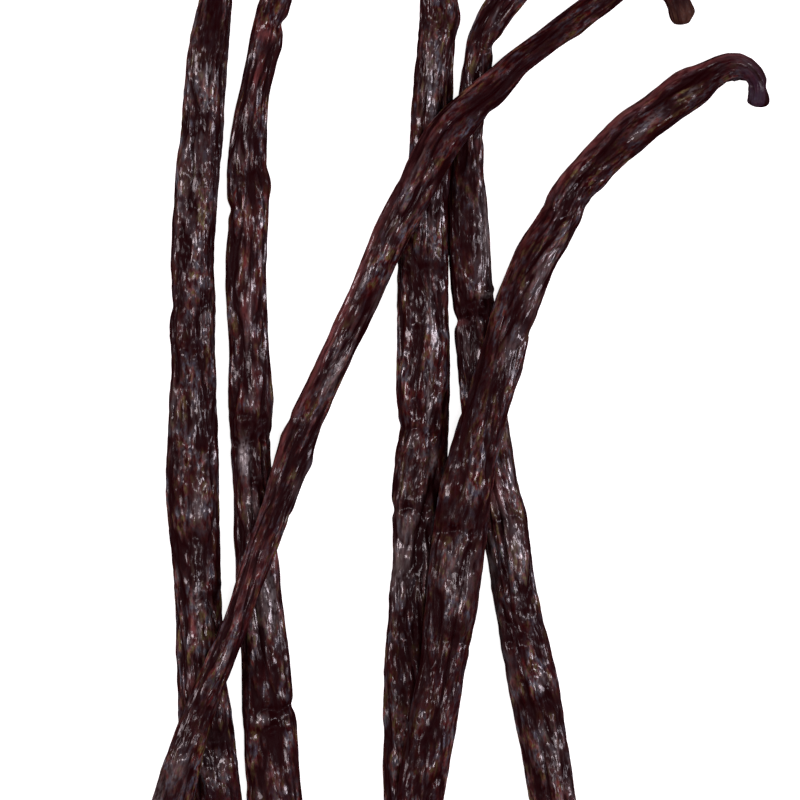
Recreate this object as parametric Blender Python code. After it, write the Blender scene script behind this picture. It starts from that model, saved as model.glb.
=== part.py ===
"""Six cured vanilla pods, lying loose across each other.

Four pods lie on the surface, roughly side by side. The other two run slantwise over them, so each of
those two is held up where it crosses a pod and bends back down to the surface between and beyond.

A pod is a long flattened tube with blunt lengthwise ridges. It has a thin stalk with a cut end, which
curls over on some pods, and a blossom end that tapers to a rounded tip. Each pod is one closed solid.

+Z is up, and +Y runs from the blossom ends to the stalks. The origin is on the surface, under the
middle of the bundle.
"""

import math

import bmesh
import bpy
import numpy as np

MM = 0.001

# How finely a pod is meshed: points around it, rings along it, and how many of those round off an end.
SIDES = 16
RINGS = 48
END_RINGS = 3
# A ring's spacing shrinks by this many millimetres' worth of bend, so that curls stay round.
RING_BEND_WEIGHT = 9.0

# The section: thickness over width, and the ridges that run from end to end. A ridge stands on every
# other side, so that it has a crest and a valley between each pair.
FLATNESS = 0.62
RIDGES = SIDES // 2
RIDGE_DEPTH = 0.085
# A pod's weight presses its underside flat by this share of its half thickness.
PRESSED = 0.17

# The rounded ends, in millimetres along the pod.
STALK_END = 0.9
BLOSSOM_END = 3.2

# How the pods lie. The gap keeps touching pods apart. The stiffness is bending stiffness over weight
# for each millimetre of length, in cubic millimetres: a pod sags a few millimetres over a long span.
GAP = 0.3
STIFFNESS = 2.5e4
SETTLING_ROUNDS = 80
REST_STEP = 1.5

# The middle of the bundle in the plan that the routes below are drawn on, in millimetres.
PLAN_MIDDLE = (8.0, -5.7)

# Each pod's route on the plan, from its stalk's cut end to its blossom end: x, y and the pod's width
# there, in millimetres. The first four lie on the surface. The last two lie over those.
ROUTES = {
    "pod_a": [
        (-25.6, 80.4, 3.5),
        (-28.4, 72.0, 4.3),
        (-29.5, 64.0, 5.3),
        (-30.6, 56.0, 6.3),
        (-31.3, 48.0, 6.7),
        (-33.0, 27.0, 7.0),
        (-33.1, 2.0, 7.5),
        (-33.2, -11.0, 8.4),
        (-32.4, -32.0, 7.4),
        (-31.9, -43.0, 7.8),
        (-31.1, -52.0, 8.6),
        (-29.3, -64.0, 8.1),
        (-26.6, -80.0, 7.0),
        (-24.4, -92.0, 4.2),
    ],
    "pod_b": [
        (-11.4, 74.0, 3.5),
        (-15.6, 71.2, 4.0),
        (-19.9, 64.1, 5.0),
        (-21.8, 56.5, 5.1),
        (-23.2, 49.5, 5.0),
        (-24.5, 38.0, 6.6),
        (-24.3, 28.5, 6.5),
        (-24.7, 19.0, 6.8),
        (-24.2, 8.0, 6.4),
        (-23.9, 0.0, 7.0),
        (-24.0, -7.0, 6.4),
        (-23.4, -20.0, 6.4),
        (-22.6, -31.0, 7.2),
        (-21.5, -42.0, 8.0),
        (-20.6, -57.0, 8.8),
        (-19.6, -70.0, 8.3),
        (-18.3, -84.0, 6.4),
        (-17.2, -92.5, 3.8),
    ],
    "pod_d": [
        (2.4, 81.0, 3.5),
        (4.6, 75.5, 4.0),
        (6.2, 65.0, 5.7),
        (6.3, 61.5, 6.1),
        (5.6, 54.5, 6.1),
        (5.3, 49.0, 6.5),
        (4.3, 32.0, 6.9),
        (3.6, 20.0, 8.0),
        (3.8, 9.5, 8.3),
        (3.6, 2.0, 8.5),
        (3.7, -6.0, 7.8),
        (3.1, -13.0, 8.5),
        (2.8, -21.5, 7.9),
        (1.8, -35.0, 7.6),
        (1.2, -49.0, 7.8),
        (1.2, -64.0, 7.3),
        (2.4, -79.0, 6.6),
        (4.6, -91.0, 4.0),
    ],
    "pod_e": [
        (31.0, 77.6, 3.5),
        (25.8, 74.0, 4.0),
        (20.7, 68.8, 5.2),
        (14.5, 60.4, 4.8),
        (12.9, 56.5, 4.5),
        (12.0, 51.0, 4.6),
        (11.1, 43.5, 4.6),
        (10.9, 38.0, 5.2),
        (11.0, 31.0, 6.0),
        (11.3, 20.0, 6.7),
        (12.4, 6.0, 6.7),
        (13.8, -4.0, 7.4),
        (15.3, -13.0, 7.0),
        (17.1, -23.0, 7.1),
        (18.2, -30.0, 7.0),
        (20.0, -39.5, 7.6),
        (21.2, -45.0, 7.7),
        (24.6, -64.0, 7.5),
        (27.4, -78.0, 6.9),
        (30.0, -90.0, 3.8),
    ],
    "pod_f": [
        (57.1, 46.9, 3.5),
        (57.2, 50.8, 3.4),
        (54.2, 53.5, 4.1),
        (51.4, 52.9, 4.6),
        (47.3, 50.2, 6.0),
        (44.3, 48.4, 6.5),
        (41.3, 46.1, 6.2),
        (37.8, 43.6, 6.6),
        (31.2, 37.4, 6.2),
        (28.1, 34.0, 6.1),
        (25.3, 28.4, 6.6),
        (23.0, 24.9, 6.7),
        (18.0, 12.9, 7.0),
        (14.5, 1.0, 7.1),
        (11.5, -9.5, 7.9),
        (9.1, -25.0, 8.4),
        (7.5, -38.4, 7.8),
        (4.2, -57.0, 7.8),
        (1.3, -73.0, 7.0),
        (-2.6, -90.0, 3.8),
    ],
    "pod_c": [
        (45.3, 60.1, 3.9),
        (44.1, 64.7, 3.9),
        (39.4, 68.0, 4.2),
        (32.4, 64.2, 4.4),
        (27.6, 60.6, 4.4),
        (22.8, 57.0, 4.1),
        (19.1, 54.1, 4.4),
        (15.7, 50.6, 5.3),
        (7.6, 42.6, 6.2),
        (2.3, 33.4, 6.1),
        (-0.7, 28.0, 6.0),
        (-3.2, 22.6, 5.6),
        (-4.6, 19.2, 5.4),
        (-8.5, 10.8, 5.1),
        (-13.5, 0.0, 5.2),
        (-16.4, -7.0, 5.7),
        (-19.3, -16.0, 5.0),
        (-21.7, -22.4, 4.7),
        (-26.7, -37.0, 4.2),
        (-31.4, -48.0, 4.8),
        (-35.0, -59.0, 5.9),
        (-38.2, -72.0, 7.0),
        (-41.4, -86.0, 4.0),
    ],
}
LYING_OVER = {
    "pod_f": ["pod_d", "pod_e"],
    "pod_c": ["pod_a", "pod_b", "pod_d", "pod_e", "pod_f"],
}

# Dark oily browns, one for each pod, in linear red, green and blue.
BROWNS = {
    "pod_a": (0.030, 0.015, 0.013),
    "pod_b": (0.026, 0.013, 0.012),
    "pod_c": (0.040, 0.018, 0.014),
    "pod_d": (0.024, 0.012, 0.011),
    "pod_e": (0.028, 0.014, 0.013),
    "pod_f": (0.036, 0.017, 0.014),
}
ROUGHNESS = 0.38


def spline(points, step):
    """Points about a step apart on the smooth curve through the given ones, whose ends run out straight."""
    points = np.array(points, float)
    spans = np.linalg.norm(np.diff(points[:, :2], axis=0), axis=1)
    slopes = np.diff(points, axis=0) / spans[:, None]
    system = np.eye(len(points))
    bends = np.zeros_like(points)
    for k in range(1, len(points) - 1):
        system[k, k - 1 : k + 2] = spans[k - 1], 2 * (spans[k - 1] + spans[k]), spans[k]
        bends[k] = 6 * (slopes[k] - slopes[k - 1])
    bends = np.linalg.solve(system, bends)
    curve = []
    for k, span in enumerate(spans):
        t = np.linspace(0, 1, max(2, round(span / step)), endpoint=False)[:, None]
        chord = (1 - t) * points[k] + t * points[k + 1]
        pull = ((1 - t) ** 3 - (1 - t)) * bends[k] + (t**3 - t) * bends[k + 1]
        curve.append(chord + pull * span**2 / 6)
    return np.vstack([*curve, points[-1:]])


def along(curve):
    """How far along the curve each of its points is, by its first columns x, y and, if it has it, z."""
    return np.concatenate([[0], np.cumsum(np.linalg.norm(np.diff(curve, axis=0), axis=1))])


def lowest_centres(plan, half_height, below):
    """The lowest that each point of a pod's centre line can lie, over the surface and the pods below it.

    Two flattened tubes that touch have their centres apart by an ellipse of their summed half widths
    and half thicknesses.
    """
    lowest = half_height * (1 - PRESSED)
    for other_plan, other_half_height, other_height in below:
        offset = plan[:, None, :2] - other_plan[None, :, :2]
        reach = (plan[:, None, 2] + other_plan[None, :, 2]) / 2 + GAP
        share = np.linalg.norm(offset, axis=2) / reach
        rise = np.sqrt(np.clip(1 - share**2, 0, 1)) * (half_height[:, None] + other_half_height + GAP)
        over = np.where(share < 1, other_height[None, :] + rise, 0)
        lowest = np.maximum(lowest, over.max(axis=1))
    return lowest


def settle(lowest, step):
    """The heights of an evenly bending strip that sags under its weight until something holds it up.

    Each round solves the strip's bending with some points held at their lowest. Then it lets go of
    the points that are held down, and holds the ones that sank too far.
    """
    count = len(lowest)
    curving = np.diff(np.eye(count), 2, axis=0) / step**2
    stiff = STIFFNESS * curving.T @ curving * step + 1e-9 * np.eye(count)
    weight = np.full(count, -step)
    held = np.ones(count, bool)
    height = lowest.copy()
    for _ in range(SETTLING_ROUNDS):
        loose = ~held
        height = lowest.copy()
        if loose.any():
            load = weight[loose] - stiff[np.ix_(loose, held)] @ lowest[held]
            height[loose] = np.linalg.solve(stiff[np.ix_(loose, loose)], load)
        push = stiff @ height - weight
        still_held = np.where(held, push > 0, height < lowest)
        if (still_held == held).all():
            break
        held = still_held
    return np.maximum(height, lowest)


def lie_down():
    """Each pod's centre line, as rows of x, y, z and width, with the pods lying on the surface and each other."""
    lines = {}
    resting = {}
    for name, route in ROUTES.items():
        plan = spline(route, REST_STEP)
        half_height = plan[:, 2] * FLATNESS / 2
        lowest = lowest_centres(plan, half_height, [resting[other] for other in LYING_OVER.get(name, [])])
        step = along(plan[:, :2])[-1] / (len(plan) - 1)
        height = settle(lowest, step) if name in LYING_OVER else lowest
        resting[name] = (plan, half_height, height)
        lines[name] = np.column_stack([plan[:, :2], height, plan[:, 2]])
    return lines


def ring_places(line):
    """How far along the pod each ring is: close at the rounded ends and in the curls, wider between."""
    length = along(line[:, :3])
    turns = np.gradient(np.unwrap(np.arctan2(*np.gradient(line[:, :2], axis=0).T)), length)
    effort = along(np.cumsum((1 + RING_BEND_WEIGHT * np.abs(turns)) * np.gradient(length))[:, None])
    quarter = np.linspace(0, math.pi / 2, END_RINGS, endpoint=False)
    stalk = STALK_END * (1 - np.cos(quarter))
    blossom = length[-1] - BLOSSOM_END * (1 - np.cos(quarter[::-1]))
    first, last = np.interp([STALK_END, length[-1] - BLOSSOM_END], length, effort)
    between = np.interp(np.linspace(first, last, RINGS + 1 - 2 * END_RINGS), effort, length)
    return np.concatenate([stalk, between, blossom])


def end_rounding(place, length):
    """The share of its full width that a pod has here: 1, but for a quarter circle at each end."""
    stalk = np.clip(1 - place / STALK_END, 0, 1)
    blossom = np.clip(1 - (length - place) / BLOSSOM_END, 0, 1)
    return np.sqrt(1 - stalk**2) * np.sqrt(1 - blossom**2)


def pod_mesh(name, line):
    """A closed tube along the line: a sphere whose rings are moved to the pod's sections."""
    length = along(line[:, :3])
    places = ring_places(line)
    centres = np.column_stack([np.interp(places, length, line[:, k]) for k in range(3)])
    across = np.interp(places, length, line[:, 3]) / 2 * end_rounding(places, length[-1])
    steps = np.gradient(line[:, :3], length, axis=0)
    ahead = np.column_stack([np.interp(places, length, steps[:, k]) for k in range(3)])
    ahead /= np.linalg.norm(ahead, axis=1)[:, None]
    side = np.cross(ahead, (0, 0, 1))
    side /= np.linalg.norm(side, axis=1)[:, None]
    up = np.cross(side, ahead)

    shape = bmesh.new()
    bmesh.ops.create_uvsphere(shape, u_segments=SIDES, v_segments=RINGS, radius=1)
    for vert in shape.verts:
        ring = round(math.acos(max(-1, min(1, vert.co.z))) / math.pi * RINGS)
        angle = math.atan2(vert.co.y, vert.co.x)
        if ring in (0, RINGS):
            vert.co = centres[ring]
        else:
            valley = 0.5 - 0.5 * math.cos(RIDGES * angle)
            out = across[ring] * (1 - RIDGE_DEPTH * valley)
            sideways = out * math.cos(angle) * side[ring]
            upward = out * FLATNESS * math.sin(angle) * up[ring]
            vert.co = centres[ring] + sideways + upward
        vert.co.z = max(vert.co.z, 0)
        vert.co.x -= PLAN_MIDDLE[0]
        vert.co.y -= PLAN_MIDDLE[1]
        vert.co *= MM
    mesh = bpy.data.meshes.new(name)
    shape.to_mesh(mesh)
    shape.free()
    mesh.shade_smooth()
    return mesh


def pod_skin(name):
    """The pod's own dark, slightly oily brown."""
    skin = bpy.data.materials.new(name + "_skin")
    skin.use_nodes = True
    shader = skin.node_tree.nodes["Principled BSDF"]
    shader.inputs["Base Color"].default_value = (*BROWNS[name], 1)
    shader.inputs["Roughness"].default_value = ROUGHNESS
    shader.inputs["Metallic"].default_value = 0
    return skin


def build():
    for leftover in list(bpy.data.objects):
        bpy.data.objects.remove(leftover)
    bundle = bpy.data.collections.new("vanilla_pods")
    bpy.context.scene.collection.children.link(bundle)
    for name, line in lie_down().items():
        mesh = pod_mesh(name, line)
        mesh.materials.append(pod_skin(name))
        bundle.objects.link(bpy.data.objects.new(name, mesh))


build()
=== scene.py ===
import math

import bmesh
import bpy
import numpy as np
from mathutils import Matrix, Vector


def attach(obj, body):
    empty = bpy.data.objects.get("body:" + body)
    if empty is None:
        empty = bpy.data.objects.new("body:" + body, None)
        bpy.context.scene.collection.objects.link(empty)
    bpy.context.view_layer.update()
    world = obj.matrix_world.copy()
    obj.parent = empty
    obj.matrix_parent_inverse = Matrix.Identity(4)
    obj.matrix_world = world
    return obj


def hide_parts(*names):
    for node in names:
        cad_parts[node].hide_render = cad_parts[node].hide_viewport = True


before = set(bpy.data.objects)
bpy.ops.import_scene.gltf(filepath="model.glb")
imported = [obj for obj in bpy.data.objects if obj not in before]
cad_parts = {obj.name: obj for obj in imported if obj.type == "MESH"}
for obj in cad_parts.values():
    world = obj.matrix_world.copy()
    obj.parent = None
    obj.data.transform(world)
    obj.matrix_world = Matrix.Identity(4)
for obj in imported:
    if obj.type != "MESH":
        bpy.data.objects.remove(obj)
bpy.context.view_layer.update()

# Six cured vanilla pods. Each of the frame's solids is replaced by one finely wrinkled pod that lies
# where its solid does. Lengths here are in millimetres, except where a name ends in _M, and become metres
# when a mesh is made.
MM = 0.001

# ---- How the pods lie: the same routes and rules as the solids ----

# The section: thickness over width. A pod's weight presses its underside flat by a share of its half
# thickness.
FLATNESS = 0.62
PRESSED = 0.17
# The rounded ends, in millimetres along the pod.
STALK_END = 0.9
BLOSSOM_END = 3.2
# The gap keeps touching pods apart. The stiffness is bending stiffness over weight for each millimetre
# of length, in cubic millimetres.
GAP = 0.3
STIFFNESS = 2.5e4
SETTLING_ROUNDS = 80
REST_STEP = 1.5
# The middle of the bundle in the plan that the routes below are drawn on.
PLAN_MIDDLE = (8.0, -5.7)

# Each pod's route on the plan, from its stalk's cut end to its blossom end: x, y and the pod's width
# there. The first four lie on the surface. The last two lie over those.
ROUTES = {
    "pod_a": [
        (-25.6, 80.4, 3.5),
        (-28.4, 72.0, 4.3),
        (-29.5, 64.0, 5.3),
        (-30.6, 56.0, 6.3),
        (-31.3, 48.0, 6.7),
        (-33.0, 27.0, 7.0),
        (-33.1, 2.0, 7.5),
        (-33.2, -11.0, 8.4),
        (-32.4, -32.0, 7.4),
        (-31.9, -43.0, 7.8),
        (-31.1, -52.0, 8.6),
        (-29.3, -64.0, 8.1),
        (-26.6, -80.0, 7.0),
        (-24.4, -92.0, 4.2),
    ],
    "pod_b": [
        (-11.4, 74.0, 3.5),
        (-15.6, 71.2, 4.0),
        (-19.9, 64.1, 5.0),
        (-21.8, 56.5, 5.1),
        (-23.2, 49.5, 5.0),
        (-24.5, 38.0, 6.6),
        (-24.3, 28.5, 6.5),
        (-24.7, 19.0, 6.8),
        (-24.2, 8.0, 6.4),
        (-23.9, 0.0, 7.0),
        (-24.0, -7.0, 6.4),
        (-23.4, -20.0, 6.4),
        (-22.6, -31.0, 7.2),
        (-21.5, -42.0, 8.0),
        (-20.6, -57.0, 8.8),
        (-19.6, -70.0, 8.3),
        (-18.3, -84.0, 6.4),
        (-17.2, -92.5, 3.8),
    ],
    "pod_d": [
        (2.4, 81.0, 3.5),
        (4.6, 75.5, 4.0),
        (6.2, 65.0, 5.7),
        (6.3, 61.5, 6.1),
        (5.6, 54.5, 6.1),
        (5.3, 49.0, 6.5),
        (4.3, 32.0, 6.9),
        (3.6, 20.0, 8.0),
        (3.8, 9.5, 8.3),
        (3.6, 2.0, 8.5),
        (3.7, -6.0, 7.8),
        (3.1, -13.0, 8.5),
        (2.8, -21.5, 7.9),
        (1.8, -35.0, 7.6),
        (1.2, -49.0, 7.8),
        (1.2, -64.0, 7.3),
        (2.4, -79.0, 6.6),
        (4.6, -91.0, 4.0),
    ],
    "pod_e": [
        (31.0, 77.6, 3.5),
        (25.8, 74.0, 4.0),
        (20.7, 68.8, 5.2),
        (14.5, 60.4, 4.8),
        (12.9, 56.5, 4.5),
        (12.0, 51.0, 4.6),
        (11.1, 43.5, 4.6),
        (10.9, 38.0, 5.2),
        (11.0, 31.0, 6.0),
        (11.3, 20.0, 6.7),
        (12.4, 6.0, 6.7),
        (13.8, -4.0, 7.4),
        (15.3, -13.0, 7.0),
        (17.1, -23.0, 7.1),
        (18.2, -30.0, 7.0),
        (20.0, -39.5, 7.6),
        (21.2, -45.0, 7.7),
        (24.6, -64.0, 7.5),
        (27.4, -78.0, 6.9),
        (30.0, -90.0, 3.8),
    ],
    "pod_f": [
        (57.1, 46.9, 3.5),
        (57.2, 50.8, 3.4),
        (54.2, 53.5, 4.1),
        (51.4, 52.9, 4.6),
        (47.3, 50.2, 6.0),
        (44.3, 48.4, 6.5),
        (41.3, 46.1, 6.2),
        (37.8, 43.6, 6.6),
        (31.2, 37.4, 6.2),
        (28.1, 34.0, 6.1),
        (25.3, 28.4, 6.6),
        (23.0, 24.9, 6.7),
        (18.0, 12.9, 7.0),
        (14.5, 1.0, 7.1),
        (11.5, -9.5, 7.9),
        (9.1, -25.0, 8.4),
        (7.5, -38.4, 7.8),
        (4.2, -57.0, 7.8),
        (1.3, -73.0, 7.0),
        (-2.6, -90.0, 3.8),
    ],
    "pod_c": [
        (45.3, 60.1, 3.9),
        (44.1, 64.7, 3.9),
        (39.4, 68.0, 4.2),
        (32.4, 64.2, 4.4),
        (27.6, 60.6, 4.4),
        (22.8, 57.0, 4.1),
        (19.1, 54.1, 4.4),
        (15.7, 50.6, 5.3),
        (7.6, 42.6, 6.2),
        (2.3, 33.4, 6.1),
        (-0.7, 28.0, 6.0),
        (-3.2, 22.6, 5.6),
        (-4.6, 19.2, 5.4),
        (-8.5, 10.8, 5.1),
        (-13.5, 0.0, 5.2),
        (-16.4, -7.0, 5.7),
        (-19.3, -16.0, 5.0),
        (-21.7, -22.4, 4.7),
        (-26.7, -37.0, 4.2),
        (-31.4, -48.0, 4.8),
        (-35.0, -59.0, 5.9),
        (-38.2, -72.0, 7.0),
        (-41.4, -86.0, 4.0),
    ],
}
LYING_OVER = {
    "pod_f": ["pod_d", "pod_e"],
    "pod_c": ["pod_a", "pod_b", "pod_d", "pod_e", "pod_f"],
}

# ---- The skin's relief ----

# How finely each pod is meshed: points around it, steps along it, and how many of those round off an
# end. Points are closer together on the upper side by a share, and rings in the curls by a weight.
AROUND = 168
RINGS = 470
END_RINGS = 16
UPPER_SHARE = 0.35
RING_BEND_WEIGHT = 4.0

# Each kind of relief: its height, how long its bumps are along the pod, and how many fit around it.
LUMPS = {"height": 0.12, "long": 7.0, "around": 4}
RIDGES = {"height": 0.36, "long": 9.0, "around": 12}
WRINKLES = {"height": 0.09, "long": 2.5, "around": 28}
RIBS = {"height": 0.044, "long": 1.6, "around": 80}
BEADS = {"height": 0.036, "long": 0.65, "around": 48}
# The seed of the first pod's relief. Each pod after it has the next one.
FIRST_SEED = 11
# How strong each pod's fine ribs and beads are.
RIB_STRENGTH = {"pod_a": 1.2, "pod_b": 0.7, "pod_c": 0.8, "pod_d": 1.2, "pod_e": 1.1, "pod_f": 0.9}
# How the ridges wander sideways. Here the height is a share of a turn.
WANDER = {"height": 0.03, "long": 18.0, "around": 3}
# What divides the smooth noise to make its spread about 1.
NOISE_SPREAD = 0.42
# How wide the grooves between ridges are, as a share of the noise's spread.
GROOVE_WIDTH = 0.45
# How far a crease wanders along the pod as it crosses it, how high its lips are, and how much its depth
# varies, as shares of its depth.
CREASE_WANDER = 0.25
CREASE_LIPS = 0.25
CREASE_VARYING = 0.35
# A point's crest value, from about 0.2 in the grooves to 0.9 on the ridges: what plain skin has, and how
# much each kind of relief adds to it. The colour paints shade by it: low values, in the grooves and creases,
# go near-black.
CREST = {"plain": 0.75, "ridge": 0.5, "wrinkle": 0.15, "rib": 0.15, "crease": -1.2}

# How far the whole skin stands out, to make up for its grooves.
SKIN_FULLNESS = 0.04
# By what share the relief is lower at the pods' sides, and the fine relief in patches of each tone.
SMOOTH_SIDES = 0.5
SMOOTH_PATCHES = {"sheen": 0.2, "painted_highlight": 0.75, "warm": 0.4}
# The stalk is smoother than the pod: two places along it, and how strong the fine relief is at each.
STALK_SMOOTHNESS = ([2.0, 14.0], [0.45, 1.0])
# The half width from which the relief has its full height, and the least share of it that is left where
# a pod is thinner.
FULL_RELIEF_HALF_WIDTH = 3.2
LEAST_RELIEF = 0.25

# ---- What each pod has of its own ----

# Places are in millimetres from the stalk's cut end. A facing is in degrees round the pod: 90 is up, and
# 0 and 180 are the sides that face -X and +X on a pod whose stalk points along +Y.

# Swellings, dents (of negative height) and single ridges: place, facing, half length, half span in
# degrees and height.
SWELLINGS = {
    "pod_a": [
        (26.5, 0, 1.8, 45, 0.12),
        (66.0, 0, 1.0, 40, -0.3),
        (70.0, 0, 2.5, 45, 0.25),
        (95.0, 122, 4.0, 5, 0.16),
        (98.0, 93, 3.5, 6, 0.18),
        (104.0, 180, 5.0, 45, 0.15),
        (108.0, 92, 4.5, 7, 0.18),
        (118.0, 94, 2.0, 6, 0.25),
        (127.0, 55, 3.5, 14, 0.2),
    ],
    "pod_b": [
        (17.0, 180, 1.1, 50, -0.8),
        (20.8, 180, 1.6, 55, 0.4),
        (23.5, 92, 1.4, 10, 0.2),
        (27.5, 82, 3.2, 13, 0.25),
        (40.3, 180, 1.2, 50, -0.15),
        (43.8, 180, 1.8, 55, 0.35),
        (47.4, 0, 1.1, 45, -0.5),
        (56.0, 104, 6.0, 5, 0.2),
        (61.0, 0, 5.0, 50, -0.25),
        (64.0, 101, 3.5, 5, 0.22),
        (72.0, 96, 5.0, 6, 0.18),
        (79.0, 90, 1.8, 8, 0.22),
        (88.3, 70, 3.2, 20, 0.35),
        (90.0, 165, 2.4, 35, 0.35),
        (97.0, 112, 5.0, 7, 0.25),
        (104.0, 0, 3.0, 45, -0.25),
        (104.0, 180, 3.0, 45, 0.3),
        (127.2, 180, 1.3, 45, -0.35),
        (139.5, 0, 1.5, 40, -0.2),
    ],
    "pod_c": [
        (0.5, 0, 0.7, 60, -1.0),
        (0.5, 180, 0.7, 60, -0.6),
        (1.9, 0, 1.0, 60, 0.5),
        (25.0, 180, 1.6, 50, 0.3),
        (36.0, 180, 1.5, 50, -0.2),
        (45.0, 180, 1.6, 50, -0.4),
        (77.5, 95, 1.6, 8, 0.2),
        (97.0, 95, 2.5, 7, 0.18),
        (104.5, 0, 1.0, 40, -0.25),
        (110.0, 180, 1.6, 45, 0.4),
        (119.0, 180, 0.8, 40, -0.3),
        (144.0, 110, 2.0, 10, 0.25),
    ],
    "pod_d": [
        (20.3, 180, 1.6, 50, 0.4),
        (32.0, 72, 6.0, 9, 0.25),
        (33.0, 98, 6.0, 6, 0.16),
        (50.0, 180, 6.5, 40, 0.2),
        (67.0, 180, 8.0, 45, -0.18),
        (72.0, 106, 6.0, 5, 0.2),
        (82.0, 108, 3.5, 5, 0.2),
        (86.0, 0, 1.0, 45, -0.15),
        (89.8, 0, 2.0, 45, 0.3),
        (99.3, 0, 0.9, 45, -0.4),
        (112.5, 0, 2.5, 45, 0.25),
    ],
    "pod_e": [
        (27.4, 180, 1.5, 50, -0.85),
        (27.6, 0, 1.8, 50, 0.2),
        (34.5, 85, 2.0, 14, 0.2),
        (42.8, 180, 0.8, 45, -0.25),
        (55.0, 0, 7.0, 40, 0.45),
        (60.0, 140, 7.0, 6, 0.2),
        (67.6, 172, 0.7, 30, 0.35),
        (69.2, 0, 2.2, 45, -0.4),
        (72.0, 0, 1.2, 50, -0.75),
        (105.0, 180, 4.0, 45, 0.3),
        (124.0, 180, 2.2, 45, 0.12),
        (137.0, 0, 4.0, 45, 0.2),
        (137.5, 115, 1.6, 14, 0.25),
        (143.0, 72, 2.5, 8, 0.22),
    ],
    "pod_f": [
        (1.2, 0, 0.8, 60, 0.3),
        (3.0, 0, 0.8, 50, -0.8),
        (4.8, 180, 1.1, 55, -0.8),
        (8.4, 180, 1.6, 55, 0.5),
        (13.3, 180, 1.3, 55, -0.35),
        (16.5, 0, 2.5, 50, 0.4),
        (38.0, 180, 1.8, 50, 0.3),
        (38.5, 0, 1.4, 45, -0.2),
        (43.7, 180, 1.3, 50, -0.3),
        (44.0, 0, 1.5, 50, 0.2),
        (66.0, 165, 1.2, 25, -0.45),
        (72.5, 180, 2.4, 50, 0.3),
        (100.0, 60, 1.5, 30, -0.35),
    ],
}
# Creases across the skin: place, facing, half span in degrees, how far along they slant over a quarter
# turn, half width and depth.
CREASES = {
    "pod_a": [(73.0, 90, 80, 0.8, 0.6, 0.2), (112.5, 120, 50, -1.0, 0.5, 0.25)],
    "pod_b": [
        (18.0, 110, 60, -1.5, 0.5, 0.3),
        (41.8, 100, 60, -1.4, 0.5, 0.2),
        (80.6, 90, 70, 0.6, 0.5, 0.3),
        (84.6, 90, 80, -0.6, 0.6, 0.45),
        (91.6, 110, 50, 2.0, 0.5, 0.3),
        (127.6, 120, 70, -1.0, 0.6, 0.45),
        (130.6, 100, 50, -1.2, 0.5, 0.3),
    ],
    "pod_c": [
        (104.8, 60, 60, 1.0, 0.5, 0.25),
        (152.0, 90, 60, 1.5, 0.6, 0.3),
        (160.0, 90, 70, -0.6, 0.5, 0.3),
    ],
    "pod_d": [
        (22.5, 110, 60, 1.2, 0.6, 0.35),
        (61.0, 90, 80, 0.4, 0.7, 0.3),
        (86.4, 70, 80, 0.5, 0.6, 0.3),
        (99.2, 70, 70, 0.4, 0.6, 0.35),
    ],
    "pod_e": [
        (28.2, 120, 60, -0.6, 0.5, 0.3),
        (69.0, 120, 70, -1.2, 0.6, 0.4),
        (71.6, 70, 70, -0.6, 0.5, 0.4),
        (104.5, 110, 50, 0.5, 0.5, 0.25),
        (121.2, 90, 80, 0.3, 0.6, 0.2),
        (124.0, 90, 70, 0.6, 0.5, 0.25),
        (134.6, 90, 80, 0.5, 0.9, 0.2),
    ],
    "pod_f": [
        (40.5, 90, 60, 1.0, 0.6, 0.25),
        (46.5, 100, 70, 0.8, 0.6, 0.25),
        (66.5, 150, 40, -0.8, 0.5, 0.3),
        (99.8, 90, 70, -0.8, 0.7, 0.4),
        (117.6, 130, 60, 0.6, 0.8, 0.25),
    ],
}
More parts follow.
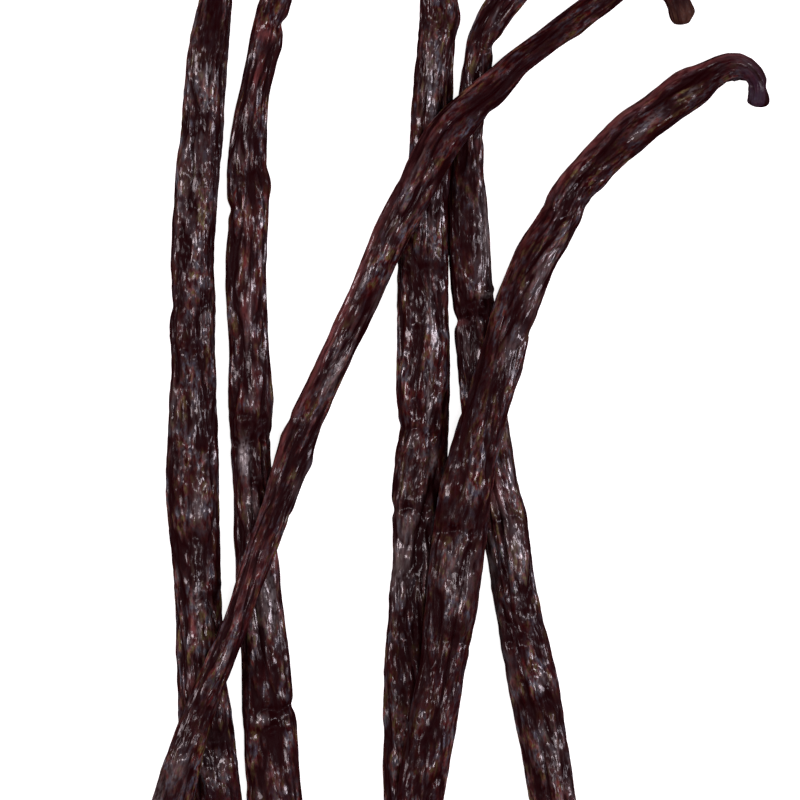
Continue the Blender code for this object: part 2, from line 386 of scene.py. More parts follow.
# Patches of four tones. Dark ones are partly darker skin and partly painted shade, as where one pod lies
# over another. Silvery ones are a painted sheen, with more coat as well. Warm red-brown ones are partly the
# skin's own colour and partly painted orange highlights. Pale ones are painted highlights. Each has its
# tone, place, facing, half length, half span in degrees and strength.
TONES = ["dark", "sheen", "warm", "painted_highlight"]
PATCHES = {
    "pod_a": [
        ("dark", 22.5, 110, 4.5, 60, 1.0),
        ("dark", 26.5, 35, 2.5, 30, 0.5),
        ("sheen", 29.5, 80, 2.5, 35, 0.6),
        ("sheen", 37.5, 92, 2.5, 20, 0.8),
        ("sheen", 42.0, 165, 14.0, 12, 0.6),
        ("dark", 45.0, 142, 25.0, 14, 0.7),
        ("dark", 45.0, 95, 3.5, 25, 0.9),
        ("sheen", 46.0, 75, 14.0, 50, 0.35),
        ("sheen", 67.0, 125, 1.8, 14, 0.8),
        ("dark", 71.5, 145, 1.8, 30, 0.9),
        ("dark", 73.0, 60, 4.0, 60, 0.7),
        ("sheen", 83.5, 98, 3.0, 18, 0.8),
        ("sheen", 84.0, 30, 6.0, 14, 0.6),
        ("dark", 92.0, 60, 12.0, 25, 0.4),
        ("sheen", 98.0, 100, 3.0, 14, 0.8),
        ("sheen", 108.0, 92, 4.5, 12, 0.8),
        ("dark", 112.8, 120, 1.6, 30, 1.0),
        ("sheen", 113.8, 95, 0.9, 12, 0.9),
        ("sheen", 117.8, 92, 1.5, 6, 1.0),
        ("painted_highlight", 117.8, 92, 1.3, 4, 0.7),
        ("warm", 117.8, 75, 2.0, 10, 1.0),
        ("sheen", 124.8, 66, 0.6, 6, 1.0),
        ("warm", 126.0, 66, 1.8, 14, 1.0),
        ("dark", 131.0, 90, 6.0, 50, 0.6),
        ("sheen", 140.0, 100, 2.0, 25, 0.7),
        ("dark", 144.5, 95, 2.0, 50, 0.8),
    ],
    "pod_b": [
        ("warm", 19.3, 85, 1.2, 30, 1.0),
        ("dark", 21.3, 110, 1.0, 60, 0.9),
        ("warm", 27.5, 84, 4.0, 12, 0.8),
        ("sheen", 36.0, 80, 3.0, 25, 0.7),
        ("sheen", 39.0, 70, 1.5, 14, 0.7),
        ("dark", 42.6, 95, 1.5, 80, 1.0),
        ("dark", 57.0, 40, 4.0, 40, 0.8),
        ("warm", 62.0, 90, 18.0, 30, 0.4),
        ("sheen", 64.0, 100, 4.0, 7, 0.8),
        ("sheen", 70.0, 92, 3.5, 12, 0.7),
        ("sheen", 77.0, 90, 2.5, 10, 0.8),
        ("sheen", 82.0, 155, 3.0, 20, 0.6),
        ("dark", 82.2, 90, 2.6, 120, 1.0),
        ("painted_highlight", 87.3, 72, 2.2, 14, 1.0),
        ("sheen", 87.5, 80, 3.5, 25, 0.6),
        ("dark", 91.0, 120, 1.5, 30, 0.9),
        ("sheen", 95.5, 88, 3.5, 20, 0.8),
        ("warm", 103.0, 150, 2.5, 25, 1.0),
        ("painted_highlight", 110.0, 120, 4.0, 25, 0.35),
        ("sheen", 112.0, 85, 5.0, 35, 0.6),
        ("dark", 118.0, 140, 3.0, 30, 0.8),
        ("dark", 122.0, 90, 3.0, 60, 0.6),
        ("dark", 126.6, 100, 1.3, 90, 0.9),
        ("sheen", 129.2, 95, 0.9, 40, 0.9),
        ("warm", 139.0, 90, 3.0, 20, 0.3),
        ("dark", 140.0, 75, 3.0, 50, 0.7),
    ],
    "pod_c": [
        ("warm", 0.0, 90, 3.0, 120, 0.4),
        ("dark", 3.8, 90, 1.2, 90, 0.9),
        ("dark", 19.0, 100, 7.0, 60, 0.6),
        ("dark", 30.0, 100, 9.0, 60, 1.0),
        ("warm", 40.0, 28, 14.0, 18, 0.5),
        ("dark", 45.0, 110, 6.0, 50, 0.8),
        ("sheen", 58.0, 62, 3.5, 6, 0.7),
        ("sheen", 66.0, 95, 5.0, 30, 0.5),
        ("sheen", 78.5, 72, 2.0, 10, 0.9),
        ("sheen", 85.0, 148, 6.0, 18, 0.8),
        ("dark", 86.0, 68, 24.0, 12, 0.6),
        ("warm", 88.0, 34, 34.0, 24, 1.0),
        ("sheen", 92.0, 105, 6.0, 28, 0.6),
        ("painted_highlight", 95.5, 115, 3.5, 20, 0.3),
        ("warm", 103.5, 110, 1.0, 10, 0.8),
        ("dark", 104.8, 75, 1.8, 40, 0.9),
        ("sheen", 107.0, 148, 3.0, 16, 1.0),
        ("sheen", 115.0, 152, 5.0, 18, 0.8),
        ("sheen", 116.0, 130, 4.0, 16, 0.5),
        ("dark", 117.0, 60, 6.0, 45, 0.7),
        ("warm", 131.0, 70, 6.0, 60, 0.5),
        ("sheen", 143.5, 105, 2.0, 14, 0.9),
        ("dark", 148.5, 100, 2.5, 40, 0.7),
        ("dark", 153.5, 110, 4.0, 60, 0.9),
        ("dark", 157.5, 70, 2.5, 45, 0.8),
        ("sheen", 162.0, 80, 4.0, 35, 0.6),
        ("sheen", 169.0, 35, 4.0, 20, 0.8),
        ("painted_highlight", 169.0, 32, 4.0, 25, 0.25),
    ],
    "pod_d": [
        ("dark", 20.5, 100, 3.0, 60, 0.6),
        ("dark", 26.5, 115, 2.0, 25, 0.7),
        ("sheen", 30.0, 78, 6.0, 22, 0.9),
        ("sheen", 52.5, 105, 1.8, 25, 0.8),
        ("dark", 60.0, 95, 2.8, 120, 1.0),
        ("sheen", 66.5, 83, 3.0, 16, 0.8),
        ("sheen", 69.0, 112, 4.0, 6, 0.9),
        ("painted_highlight", 71.0, 107, 6.5, 3, 0.5),
        ("dark", 78.0, 96, 2.5, 14, 0.8),
        ("painted_highlight", 82.3, 102, 2.2, 3, 0.6),
        ("sheen", 82.3, 108, 2.0, 6, 1.0),
        ("sheen", 88.0, 65, 1.5, 14, 0.7),
        ("painted_highlight", 91.0, 118, 1.2, 8, 0.5),
        ("dark", 92.0, 80, 2.0, 60, 0.5),
        ("dark", 98.8, 90, 1.2, 100, 0.7),
        ("sheen", 105.0, 102, 6.0, 30, 1.0),
        ("sheen", 106.0, 60, 8.0, 40, 0.9),
        ("painted_highlight", 110.0, 45, 3.0, 20, 0.2),
        ("dark", 115.0, 140, 5.0, 30, 0.8),
        ("dark", 130.0, 90, 12.0, 70, 0.6),
    ],
    "pod_e": [
        ("sheen", 22.5, 100, 2.0, 30, 0.5),
        ("dark", 26.5, 80, 1.5, 50, 0.7),
        ("sheen", 33.0, 95, 2.0, 18, 0.8),
        ("sheen", 42.8, 142, 1.0, 16, 1.0),
        ("warm", 44.0, 130, 1.5, 16, 0.8),
        ("dark", 47.0, 90, 2.5, 70, 0.8),
        ("dark", 57.0, 55, 9.0, 30, 0.7),
        ("painted_highlight", 58.0, 150, 5.0, 18, 0.3),
        ("sheen", 59.0, 135, 7.5, 30, 1.0),
        ("sheen", 68.3, 140, 0.3, 35, 1.0),
        ("painted_highlight", 68.3, 145, 0.3, 30, 0.5),
        ("dark", 69.9, 95, 1.4, 120, 1.0),
        ("warm", 72.5, 50, 0.9, 30, 0.9),
        ("sheen", 76.5, 55, 3.5, 30, 0.8),
        ("dark", 82.0, 110, 3.0, 40, 0.8),
        ("painted_highlight", 88.5, 146, 3.0, 20, 0.5),
        ("dark", 94.5, 130, 1.3, 30, 0.8),
        ("sheen", 98.0, 140, 3.0, 14, 0.8),
        ("warm", 101.0, 88, 3.0, 22, 1.0),
        ("sheen", 104.0, 92, 4.0, 16, 0.8),
        ("sheen", 110.0, 115, 7.0, 35, 0.5),
        ("sheen", 111.0, 34, 4.0, 20, 1.0),
        ("dark", 118.0, 70, 2.0, 50, 0.6),
        ("sheen", 120.3, 110, 0.8, 25, 0.9),
        ("dark", 123.5, 90, 2.0, 120, 0.9),
        ("sheen", 130.0, 28, 18.0, 22, 0.4),
        ("sheen", 131.5, 115, 1.6, 18, 1.0),
        ("dark", 134.8, 90, 1.5, 120, 0.9),
        ("dark", 137.5, 60, 2.5, 25, 0.7),
        ("sheen", 139.0, 108, 1.6, 18, 1.0),
        ("sheen", 142.0, 110, 3.5, 35, 0.6),
        ("sheen", 143.0, 80, 2.0, 7, 1.0),
        ("sheen", 146.0, 150, 3.0, 22, 0.9),
    ],
    "pod_f": [
        ("painted_highlight", 7.5, 60, 1.8, 40, 0.08),
        ("dark", 13.0, 95, 3.5, 45, 1.0),
        ("painted_highlight", 17.0, 98, 1.0, 9, 0.28),
        ("dark", 18.0, 145, 6.0, 30, 0.7),
        ("dark", 21.0, 90, 1.8, 40, 1.0),
        ("painted_highlight", 24.5, 98, 1.3, 10, 0.35),
        ("warm", 28.0, 28, 26.0, 22, 1.0),
        ("dark", 28.0, 150, 8.0, 30, 0.5),
        ("sheen", 28.0, 105, 1.4, 14, 0.8),
        ("dark", 34.0, 90, 4.0, 42, 1.0),
        ("sheen", 42.0, 85, 2.0, 16, 0.8),
        ("warm", 46.3, 80, 1.8, 14, 0.6),
        ("sheen", 46.8, 88, 1.2, 14, 1.0),
        ("sheen", 57.0, 125, 7.0, 30, 0.8),
        ("dark", 58.0, 60, 6.0, 25, 0.6),
        ("dark", 65.0, 120, 1.6, 40, 1.0),
        ("sheen", 70.0, 115, 3.5, 25, 0.8),
        ("dark", 71.5, 162, 2.5, 20, 0.6),
        ("dark", 80.0, 50, 14.0, 45, 0.9),
        ("dark", 97.0, 85, 4.0, 75, 1.0),
        ("sheen", 98.8, 95, 0.6, 6, 1.0),
        ("sheen", 106.5, 100, 4.5, 35, 0.9),
        ("dark", 115.0, 100, 2.2, 80, 1.0),
        ("dark", 116.0, 90, 1.6, 60, 1.0),
        ("dark", 125.0, 25, 22.0, 45, 0.9),
        ("dark", 139.0, 65, 4.0, 35, 0.8),
    ],
}


def spline(points, step):
    """Points about a step apart on the smooth curve through the given ones, whose ends run out straight."""
    points = np.array(points, float)
    spans = np.linalg.norm(np.diff(points[:, :2], axis=0), axis=1)
    slopes = np.diff(points, axis=0) / spans[:, None]
    system = np.eye(len(points))
    bends = np.zeros_like(points)
    for k in range(1, len(points) - 1):
        system[k, k - 1 : k + 2] = spans[k - 1], 2 * (spans[k - 1] + spans[k]), spans[k]
        bends[k] = 6 * (slopes[k] - slopes[k - 1])
    bends = np.linalg.solve(system, bends)
    curve = []
    for k, span in enumerate(spans):
        t = np.linspace(0, 1, max(2, round(span / step)), endpoint=False)[:, None]
        chord = (1 - t) * points[k] + t * points[k + 1]
        pull = ((1 - t) ** 3 - (1 - t)) * bends[k] + (t**3 - t) * bends[k + 1]
        curve.append(chord + pull * span**2 / 6)
    return np.vstack([*curve, points[-1:]])


def along(curve):
    """How far along the curve each of its points is."""
    return np.concatenate([[0], np.cumsum(np.linalg.norm(np.diff(curve, axis=0), axis=1))])


def lowest_centres(plan, half_height, below):
    """The lowest that each point of a pod's centre line can lie, over the surface and the pods below it."""
    lowest = half_height * (1 - PRESSED)
    for other_plan, other_half_height, other_height in below:
        offset = plan[:, None, :2] - other_plan[None, :, :2]
        reach = (plan[:, None, 2] + other_plan[None, :, 2]) / 2 + GAP
        share = np.linalg.norm(offset, axis=2) / reach
        rise = np.sqrt(np.clip(1 - share**2, 0, 1)) * (half_height[:, None] + other_half_height + GAP)
        over = np.where(share < 1, other_height[None, :] + rise, 0)
        lowest = np.maximum(lowest, over.max(axis=1))
    return lowest


def settle(lowest, step):
    """The heights of an evenly bending strip that sags under its weight until something holds it up."""
    count = len(lowest)
    curving = np.diff(np.eye(count), 2, axis=0) / step**2
    stiff = STIFFNESS * curving.T @ curving * step + 1e-9 * np.eye(count)
    weight = np.full(count, -step)
    held = np.ones(count, bool)
    height = lowest.copy()
    for _ in range(SETTLING_ROUNDS):
        loose = ~held
        height = lowest.copy()
        if loose.any():
            load = weight[loose] - stiff[np.ix_(loose, held)] @ lowest[held]
            height[loose] = np.linalg.solve(stiff[np.ix_(loose, loose)], load)
        push = stiff @ height - weight
        still_held = np.where(held, push > 0, height < lowest)
        if (still_held == held).all():
            break
        held = still_held
    return np.maximum(height, lowest)


def lie_down():
    """Each pod's centre line as rows of x, y, z and width, on the surface and on the pods under it."""
    lines = {}
    resting = {}
    for name, route in ROUTES.items():
        plan = spline(route, REST_STEP)
        half_height = plan[:, 2] * FLATNESS / 2
        lowest = lowest_centres(plan, half_height, [resting[other] for other in LYING_OVER.get(name, [])])
        step = along(plan[:, :2])[-1] / (len(plan) - 1)
        height = settle(lowest, step) if name in LYING_OVER else lowest
        resting[name] = (plan, half_height, height)
        lines[name] = np.column_stack([plan[:, :2], height, plan[:, 2]])
    return lines


def ring_places(line):
    """How far along the pod each ring is: close at the rounded ends and in the curls, wider between."""
    length = along(line[:, :3])
    turns = np.gradient(np.unwrap(np.arctan2(*np.gradient(line[:, :2], axis=0).T)), length)
    effort = along(np.cumsum((1 + RING_BEND_WEIGHT * np.abs(turns)) * np.gradient(length))[:, None])
    quarter = np.linspace(0, math.pi / 2, END_RINGS, endpoint=False)
    stalk = STALK_END * (1 - np.cos(quarter))
    blossom = length[-1] - BLOSSOM_END * (1 - np.cos(quarter[::-1]))
    first, last = np.interp([STALK_END, length[-1] - BLOSSOM_END], length, effort)
    between = np.interp(np.linspace(first, last, RINGS + 1 - 2 * END_RINGS), effort, length)
    return np.concatenate([stalk, between, blossom])


def end_rounding(place, length):
    """The share of its full width that a pod has here: 1, but for a quarter circle at each end."""
    stalk = np.clip(1 - place / STALK_END, 0, 1)
    blossom = np.clip(1 - (length - place) / BLOSSOM_END, 0, 1)
    return np.sqrt(1 - stalk**2) * np.sqrt(1 - blossom**2)


def spread_weights(place):
    """The four weights of a cubic B-spline at this share of a cell."""
    return [
        (1 - place) ** 3 / 6,
        (3 * place**3 - 6 * place**2 + 4) / 6,
        (-3 * place**3 + 3 * place**2 + 3 * place + 1) / 6,
        place**3 / 6,
    ]


def smooth_noise(rng, u, v, around):
    """Smooth random heights with a spread of about 1, one bump to a cell. v repeats every `around` cells."""
    lattice = rng.standard_normal((int(np.ceil(u.max())) + 4, around))
    row = np.floor(u).astype(int)
    column = np.floor(v).astype(int)
    heights = np.zeros(np.broadcast(u, v).shape)
    for k, row_weight in enumerate(spread_weights(u - row)):
        for m, column_weight in enumerate(spread_weights(v - column)):
            heights += row_weight * column_weight * lattice[row + k, (column + m) % around]
    return heights / NOISE_SPREAD


def turned_from(angle, facing):
    """How many degrees round the pod each angle is from this facing, the shorter way."""
    return (np.degrees(angle)[None, :] - facing + 180) % 360 - 180


def hill(places, angle, place, facing, half_length, half_span):
    """A smooth hill of height 1 there, as a grid over the rings and the points around them."""
    away = (places[:, None] - place) / half_length
    turned = turned_from(angle, facing) / half_span
    return np.exp(-(away**2) - turned**2)


def crease(places, angle, place, facing, half_span, slant, half_width):
    """A groove of depth 1 across the pod there, between two low lips. Its place sets how it wanders."""
    turned = turned_from(angle, facing)
    bent = np.sin(np.radians(turned * 5) + place) + 0.4 * np.sin(np.radians(turned * 9) + 2 * place)
    away = (places[:, None] - place - slant * turned / 90 - CREASE_WANDER * bent) / half_width
    uneven = 1 - CREASE_VARYING + CREASE_VARYING * np.sin(np.radians(turned * 8) + 3 * place)
    shape = np.exp(-(away**2)) - CREASE_LIPS * np.exp(-((np.abs(away) - 2) ** 2))
    return shape * uneven * np.exp(-((turned / half_span) ** 2))


def patches(name, places, angle, kind):
    """How strongly the pod has this tone, from 0 to 1, as such a grid."""
    strength = np.zeros((len(places), len(angle)))
    for label, place, facing, half_length, half_span, amount in PATCHES[name]:
        if label == kind:
            patch = amount * hill(places, angle, place, facing, half_length, half_span)
            strength = np.maximum(strength, patch)
    return strength


def skin_relief(name, seed, places, angle):
    """The skin's height over the plain pod in millimetres, and each point's crest value."""
    rng = np.random.default_rng(seed)
    u = places[:, None] + 0 * angle[None, :]
    v = angle[None, :] / (2 * math.pi) + 0 * places[:, None]

    def noise(kind):
        return smooth_noise(rng, u / kind["long"], v * kind["around"], kind["around"])

    def ridged(kind):
        return -np.exp(-np.abs(noise(kind)) / GROOVE_WIDTH)

    v = v + WANDER["height"] * noise(WANDER)
    ridge = ridged(RIDGES)
    wrinkle = noise(WRINKLES)
    rib = noise(RIBS)
    fine = RIDGES["height"] * ridge + WRINKLES["height"] * wrinkle
    fine += RIB_STRENGTH[name] * (RIBS["height"] * rib + BEADS["height"] * noise(BEADS))
    # The sides stay smoother than the top, and so do the patches of painted sheen, of painted pale highlight
    # and of warm tone, and the stalk.
    at_sides = 1 - SMOOTH_SIDES * np.cos(angle)[None, :] ** 4
    fine *= at_sides
    for kind, share in SMOOTH_PATCHES.items():
        fine *= 1 - share * patches(name, places, angle, kind)
    fine *= np.interp(places, *STALK_SMOOTHNESS)[:, None]
    height = LUMPS["height"] * noise(LUMPS) * at_sides + fine
    for place, facing, half_length, half_span, amount in SWELLINGS[name]:
        height += amount * hill(places, angle, place, facing, half_length, half_span)
    cut = 0
    for place, facing, half_span, slant, half_width, depth in CREASES[name]:
        cut = cut + depth * crease(places, angle, place, facing, half_span, slant, half_width)
    height -= cut
    # Grooves and creases get a low crest, which the skin's colour turns into painted shade.
    crest = CREST["plain"] + CREST["ridge"] * ridge + CREST["wrinkle"] * wrinkle + CREST["rib"] * rib
    crest += CREST["crease"] * np.maximum(cut, 0)
    return height, crest


def pod_course(line, places):
    """At each ring: the pod's centre, its half width, and which ways its side and its top face."""
    length = along(line[:, :3])
    centres = np.column_stack([np.interp(places, length, line[:, k]) for k in range(3)])
    half_width = np.interp(places, length, line[:, 3]) / 2
    steps = np.gradient(line[:, :3], length, axis=0)
    ahead = np.column_stack([np.interp(places, length, steps[:, k]) for k in range(3)])
    ahead /= np.linalg.norm(ahead, axis=1)[:, None]
    side = np.cross(ahead, (0, 0, 1))
    side /= np.linalg.norm(side, axis=1)[:, None]
    return centres, half_width, side, np.cross(side, ahead)


def pod_surface(name, line, seed):
    """The pod's points as a grid of rings, each one's place on a straight pod, and what its skin is like."""
    places = ring_places(line)
    rounding = end_rounding(places, along(line[:, :3])[-1])[:, None]
    centres, half_width, side, up = pod_course(line, places)
    across = half_width[:, None] * rounding
    even = np.arange(AROUND) / AROUND * 2 * math.pi
    angle = even + UPPER_SHARE * np.cos(even)

    relief, crest = skin_relief(name, seed, places, angle)
    relief_share = np.clip(across / FULL_RELIEF_HALF_WIDTH, LEAST_RELIEF, 1)
    out = (relief + SKIN_FULLNESS) * relief_share * rounding
    normal = np.array([np.cos(angle) * FLATNESS, np.sin(angle)])
    normal /= np.linalg.norm(normal, axis=0)
    sideways = across * np.cos(angle) + out * normal[0]
    upward = across * FLATNESS * np.sin(angle) + out * normal[1]

    points = centres[:, None] + sideways[..., None] * side[:, None] + upward[..., None] * up[:, None]
    points[0] = centres[0]
    points[-1] = centres[-1]
    points[..., 2] = np.maximum(points[..., 2], 0)
    points[..., :2] -= PLAN_MIDDLE
    from_stalk = places[:, None] + 0 * sideways
    straight = np.stack([from_stalk, sideways, upward], axis=-1)
    looks = {"crest": crest, "from_stalk": from_stalk}
    for kind in TONES:
        looks[kind] = patches(name, places, angle, kind)
    return points * MM, straight, looks


def make_ball():
    """A sphere with a pod's rings and spokes, and the ring and spoke of each of its points."""
    shape = bmesh.new()
    bmesh.ops.create_uvsphere(shape, u_segments=AROUND, v_segments=RINGS, radius=1)
    ball = bpy.data.meshes.new("ball")
    shape.to_mesh(ball)
    shape.free()
    ball.shade_smooth()
    points = np.zeros(len(ball.vertices) * 3)
    ball.vertices.foreach_get("co", points)
    points = points.reshape(-1, 3)
    ring = np.rint(np.arccos(np.clip(points[:, 2], -1, 1)) / math.pi * RINGS).astype(int)
    spoke = np.rint(np.arctan2(points[:, 1], points[:, 0]) / (2 * math.pi) * AROUND).astype(int) % AROUND
    return ball, ring, spoke


def pod_piece(name, line, seed, ball, ring, spoke):
    """One wrinkled pod: a sphere whose rings are moved to the pod's surface."""
    points, straight, looks = pod_surface(name, line, seed)
    mesh = ball.copy()
    mesh.name = name + "_skin"
    mesh.vertices.foreach_set("co", points[ring, spoke].ravel())
    unrolled = mesh.attributes.new("straight", "FLOAT_VECTOR", "POINT")
    unrolled.data.foreach_set("vector", straight[ring, spoke].ravel())
    for label, values in looks.items():
        mesh.attributes.new(label, "FLOAT", "POINT").data.foreach_set("value", values[ring, spoke])
    mesh.update()
    piece = bpy.data.objects.new(name + "_skin", mesh)
    bpy.context.scene.collection.objects.link(piece)
    return piece


# ---- Materials ----

# Colours are linear red, green, blue and an alpha of 1.

# The hues of the ridges, and where on their noise each one is at its purest. The pale grey mauve is partly
# the skin's own tone and partly a painted broad sheen.
REDDISH = (0.085, 0.014, 0.014, 1)
BROWN = (0.108, 0.072, 0.055, 1)
MAUVE = (0.130, 0.124, 0.124, 1)
PURPLISH = (0.072, 0.040, 0.055, 1)
OLIVE = (0.084, 0.084, 0.050, 1)
HUES = [(0.36, REDDISH), (0.43, BROWN), (0.50, MAUVE), (0.58, PURPLISH), (0.66, OLIVE)]
# What share of each pod's hues is replaced by one grey, which is partly a painted broad sheen.
GREY = (0.112, 0.108, 0.106, 1)
GREYNESS = {"pod_a": 0.4, "pod_b": 0.0, "pod_c": 0.0, "pod_d": 0.2, "pod_e": 0.15, "pod_f": 0.15}
# What broader stretches of the skin multiply its colours by, and where on their noise.
AMBER_TINT = (1.15, 1.05, 0.4, 1)
RED_TINT = (1.5, 0.66, 0.72, 1)
NO_TINT = (1.0, 1.0, 1.0, 1)
COOL_TINT = (0.84, 1.02, 1.3, 1)
TINTS = [(0.38, AMBER_TINT), (0.46, RED_TINT), (0.53, NO_TINT), (0.61, COOL_TINT)]
# The ridges where they have no hue, and the near-black painted shade of the grooves and creases between
# them.
DARK = (0.021, 0.0013, 0.0024, 1)
GROOVE_SHADE = (0.011, 0.0005, 0.0012, 1)
# The patches' colours: a warm red-brown that is partly the skin's own and partly painted orange highlights,
# a painted silvery sheen, and a painted pale highlight.
WARM_TONE_AND_HIGHLIGHT = (0.170, 0.048, 0.048, 1)
PAINTED_SHEEN = (0.148, 0.137, 0.138, 1)
PAINTED_HIGHLIGHT = (0.300, 0.268, 0.266, 1)
# The stalks. Of the two whose ends show, one is olive-brown and the other purple-grey.
STALK = (0.028, 0.015, 0.020, 1)
SHOWN_STALKS = {"pod_c": (0.048, 0.022, 0.014, 1), "pod_f": (0.028, 0.014, 0.028, 1)}

# The skin itself hardly mirrors anything. Its oily shine is a coat over it, and a fine grain is in both.
SPECULAR_LEVEL = 0.04
COAT_ROUGHNESS = 0.16
COAT_IOR = 1.5
GRAIN_HEIGHT_M = 0.00004

# The noises over each pod's straightened skin: bumps to a millimetre along and across it, detail,
# roughness, and how far along and up the noise is moved from the others.
NOISES = {
    "areas": (0.12, 0.30, 2.0, 0.55, 0, 0),
    "hues": (0.7, 1.6, 2.0, 0.55, 4, 8),
    "tints": (0.4, 0.8, 2.0, 0.55, 2, 13),
    "shine": (0.45, 1.0, 2.0, 0.55, 9, 3),
    "streaks": (0.6, 1.7, 2.0, 0.55, 0, 0),
    "grain": (1.1, 2.5, 1.0, 0.5, 0, 0),
}
# How far along the noises one pod's skin starts after the last one's, and how far across they all start.
NOISE_STEP = 37.0
NOISE_SIDE = 5.0
# What the noises and the mesh's attributes are turned into: which one is read, its low and high ends,
# and what those two give.
LEVELS = {
    # The ridge level is the mask for the painted shade in the grooves and creases.
    "ridge": ("crest", 0.36, 0.90, 0.0, 1.0),
    "coloured_area": ("areas", 0.40, 0.56, 0.15, 1.0),
    "coloured_streak": ("streaks", 0.38, 0.60, 0.0, 1.0),
    "warm_streak": ("streaks", 0.3, 0.6, 0.3, 1.0),
    "warm_groove": ("warm", 0.3, 1.0, 0.0, 0.7),
    # How the painted sheen is streaked, and how the painted pale highlights are broken up by the grain.
    "painted_sheen_streak": ("streaks", 0.3, 0.7, 0.2, 0.7),
    "painted_highlight_grain": ("grain", 0.38, 0.60, 0.1, 1.0),
    "stalk": ("from_stalk", 2.0, 11.0, 0.8, 0.0),
    # Inside the dark patches the colour falls to the groove colour: darker skin and painted shade.
    "outside_dark": ("dark", 0.0, 1.0, 1.0, 0.06),
    "roughness": ("streaks", 0.3, 0.7, 0.42, 0.58),
    "shine": ("shine", 0.42, 0.64, 0.0, 0.88),
    "shine_on_ridge": ("crest", 0.3, 0.9, 0.0, 1.0),
    "shine_outside_dark": ("dark", 0.0, 1.0, 1.0, 0.03),
    "shine_of_sheen": ("sheen", 0.0, 1.0, 0.0, 0.36),
    "shine_past_stalk": ("from_stalk", 2.0, 12.0, 0.03, 1.0),
}


class Shader:
    """Builds a material's nodes, each one from its type, its settings and what feeds its inputs."""

    def __init__(self, name):
        self.material = bpy.data.materials.new(name)
        self.material.use_nodes = True
        self.tree = self.material.node_tree
        self.surface = self.tree.nodes["Principled BSDF"]

    def node(self, kind, inputs=None, **settings):
        made = self.tree.nodes.new("ShaderNode" + kind)
        for setting, value in settings.items():
            setattr(made, setting, value)
        for socket, value in (inputs or {}).items():
            self.feed(made.inputs[socket], value)
        return made

    def feed(self, socket, value):
        if isinstance(value, bpy.types.NodeSocket):
            self.tree.links.new(value, socket)
        else:
            socket.default_value = value

    def attribute(self, label, output="Fac"):
        return self.node("Attribute", attribute_name=label).outputs[output]

    def noise(self, at, shift, stretch, detail, roughness):
        """Noise over these points, moved by a shift and with this many bumps to a millimetre each way."""
        place = self.node("Mapping", {"Vector": at, "Location": shift, "Scale": stretch})
        made = self.node(
            "TexNoise",
            {"Vector": place.outputs[0], "Scale": 1.0, "Detail": detail, "Roughness": roughness},
        )
        return made.outputs["Fac"]

    def ramp(self, value, stops):
        """The colour of the stops at this value, blended between them."""
        made = self.node("ValToRGB", {"Fac": value})
        ramp = made.color_ramp
        while len(ramp.elements) < len(stops):
            ramp.elements.new(0.5)
        for element, (position, colour) in zip(ramp.elements, stops):
            element.position = position
            element.color = colour
        return made.outputs["Color"]

    def level(self, value, low, high, out_low, out_high):
        """out_low up to a value of low, out_high from a value of high, and a straight line between."""
        made = self.node(
            "MapRange",
            {"Value": value, "From Min": low, "From Max": high, "To Min": out_low, "To Max": out_high},
        )
        return made.outputs["Result"]

    def maths(self, operation, a, b):
        return self.node("Math", {0: a, 1: b}, operation=operation).outputs[0]

    def times(self, a, b):
        return self.maths("MULTIPLY", a, b)

    def mix(self, share, a, b, blend="MIX"):
        """Colour a with colour b over it, by this share."""
        made = self.node("MixRGB", {"Fac": share, "Color1": a, "Color2": b}, blend_type=blend)
        return made.outputs["Color"]


def skin_colour(shader, pod, fields, levels):
    """Hues on the ridges over near-black painted shade in the grooves and creases, then the patches'
    colours, which paint shade, sheen and highlights in part, and the stalk's.
    """
    hue = shader.mix(GREYNESS[pod], shader.ramp(fields["hues"], HUES), GREY)
    coloured = shader.times(levels["coloured_area"], levels["coloured_streak"])
    colour = shader.mix(coloured, DARK, hue)
    colour = shader.mix(1.0, colour, shader.ramp(fields["tints"], TINTS), "MULTIPLY")
    # Warm patches: red-brown skin, and in places painted orange highlights.
    colour = shader.mix(shader.times(fields["warm"], levels["warm_streak"]), colour, WARM_TONE_AND_HIGHLIGHT)
    # Painted sheen in the silvery patches.
    colour = shader.mix(shader.times(fields["sheen"], levels["painted_sheen_streak"]), colour, PAINTED_SHEEN)
    colour = shader.mix(levels["stalk"], colour, SHOWN_STALKS.get(pod, STALK))
    # Painted shade: the grooves, the creases and the dark patches go to the near-black groove colour, while
    # warm patches keep most of theirs.
    lit = shader.times(levels["ridge"], levels["outside_dark"])
    lit = shader.maths("MAXIMUM", lit, levels["warm_groove"])
    colour = shader.mix(lit, GROOVE_SHADE, colour)
    # Painted pale highlights, broken up by the grain.
    return shader.mix(shader.times(fields["painted_highlight"], levels["painted_highlight_grain"]), colour, PAINTED_HIGHLIGHT)


def skin_shine(shader, levels):
    """Shine that comes and goes on the ridges, with more of it in silvery patches."""
    shine = shader.times(levels["shine"], levels["shine_on_ridge"])
    shine = shader.times(shine, levels["shine_outside_dark"])
    shine = shader.maths("ADD", shine, levels["shine_of_sheen"])
    return shader.times(shine, levels["shine_past_stalk"])


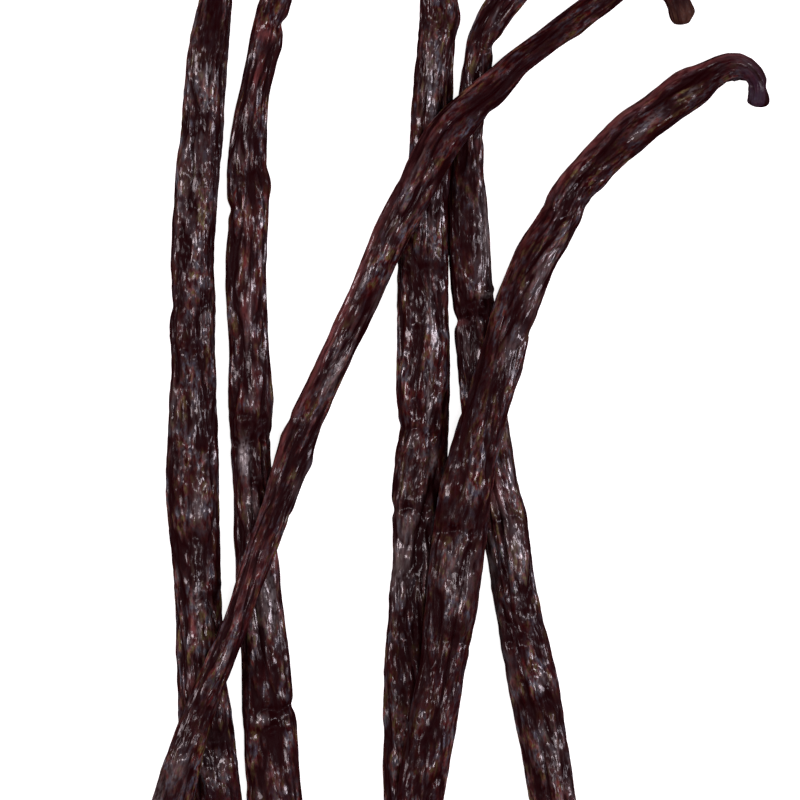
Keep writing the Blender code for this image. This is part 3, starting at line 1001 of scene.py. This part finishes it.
def skin_material(pod, number):
    """The dark oily skin of this pod."""
    shader = Shader(pod + "_skin")
    at = shader.attribute("straight", "Vector")
    fields = {label: shader.attribute(label) for label in ["crest", "from_stalk", *TONES]}
    for label, (lengthwise, crosswise, detail, roughness, further, higher) in NOISES.items():
        shift = (NOISE_STEP * number + further, NOISE_SIDE, higher)
        stretch = (lengthwise, crosswise, crosswise)
        fields[label] = shader.noise(at, shift, stretch, detail, roughness)
    levels = {label: shader.level(fields[source], *ends) for label, (source, *ends) in LEVELS.items()}

    surface = shader.surface.inputs
    shader.feed(surface["Base Color"], skin_colour(shader, pod, fields, levels))
    shader.feed(surface["Roughness"], levels["roughness"])
    surface["Specular IOR Level"].default_value = SPECULAR_LEVEL
    shader.feed(surface["Coat Weight"], skin_shine(shader, levels))
    surface["Coat Roughness"].default_value = COAT_ROUGHNESS
    surface["Coat IOR"].default_value = COAT_IOR

    grain = {"Height": fields["grain"], "Strength": 1.0, "Distance": GRAIN_HEIGHT_M}
    bump = shader.node("Bump", grain).outputs["Normal"]
    shader.feed(surface["Normal"], bump)
    shader.feed(surface["Coat Normal"], bump)
    return shader.material


# ---- Stage ----

WHITE = (1, 1, 1, 1)
FLOOR_SIDE_M = 3.0
FLOOR_DROP_M = 0.00005
FLOOR_COLOUR = (0.9, 0.9, 0.9, 1)
FLOOR_ROUGHNESS = 0.9
FLOOR_GLOW = 0.9
ROOM_GLOW = 0.02
# The camera looks straight down from far off, and shows this width of what lies at this height.
VIEW_WIDTH = 128.0
VIEW_LEVEL = 2.3
LENS = 400.0
SENSOR = 36.0
CAMERA_REACH_M = 20.0
# The lights face the middle of the bundle: place and sides in metres, watts, and colour.
LIGHTS = {
    "overhead": ((0.12, -0.06, 0.9), (0.12, 0.25), 2.5, (1.0, 0.87, 0.92)),
    "right": ((0.7, 0.1, 0.5), (0.12, 0.4), 4.7, (0.96, 0.84, 0.94)),
    "left": ((-0.6, 0.1, 0.5), (0.12, 0.4), 3.9, (0.98, 0.82, 0.87)),
}


def make_camera():
    data = bpy.data.cameras.new("camera")
    data.lens = LENS
    data.sensor_width = SENSOR
    data.clip_end = CAMERA_REACH_M
    camera = bpy.data.objects.new("camera", data)
    bpy.context.scene.collection.objects.link(camera)
    distance = VIEW_WIDTH * LENS / SENSOR + VIEW_LEVEL
    camera.location = (-PLAN_MIDDLE[0] * MM, -PLAN_MIDDLE[1] * MM, distance * MM)
    bpy.context.scene.camera = camera


def make_floor():
    """A glowing white floor just under the pods, which the shiny skins don't mirror."""
    bpy.ops.mesh.primitive_plane_add(size=FLOOR_SIDE_M, location=(0, 0, -FLOOR_DROP_M))
    floor = bpy.context.object
    floor.name = "floor"
    shader = Shader("floor_white")
    shader.surface.inputs["Base Color"].default_value = FLOOR_COLOUR
    shader.surface.inputs["Roughness"].default_value = FLOOR_ROUGHNESS
    shader.surface.inputs["Emission Color"].default_value = WHITE
    shader.surface.inputs["Emission Strength"].default_value = FLOOR_GLOW
    floor.data.materials.append(shader.material)
    floor.visible_glossy = False


def make_light(name, place, sides, watts, colour):
    data = bpy.data.lights.new(name, "AREA")
    data.shape = "RECTANGLE"
    data.size, data.size_y = sides
    data.energy = watts
    data.color = colour
    light = bpy.data.objects.new(name, data)
    bpy.context.scene.collection.objects.link(light)
    light.location = place
    light.rotation_mode = "QUATERNION"
    light.rotation_quaternion = (-Vector(place)).to_track_quat("-Z", "Y")


def make_room():
    world = bpy.data.worlds.new("room")
    world.use_nodes = True
    background = world.node_tree.nodes["Background"].inputs
    background["Color"].default_value = WHITE
    background["Strength"].default_value = ROOM_GLOW
    bpy.context.scene.world = world
    bpy.context.scene.view_settings.view_transform = "Standard"


make_camera()
make_floor()
for light, settings in LIGHTS.items():
    make_light(light, *settings)
make_room()

ball, ring, spoke = make_ball()
for number, (name, line) in enumerate(lie_down().items()):
    piece = pod_piece(name, line, FIRST_SEED + number, ball, ring, spoke)
    piece.data.materials.append(skin_material(name, number))
    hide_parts(name)
    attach(piece, "root")
bpy.data.meshes.remove(ball)
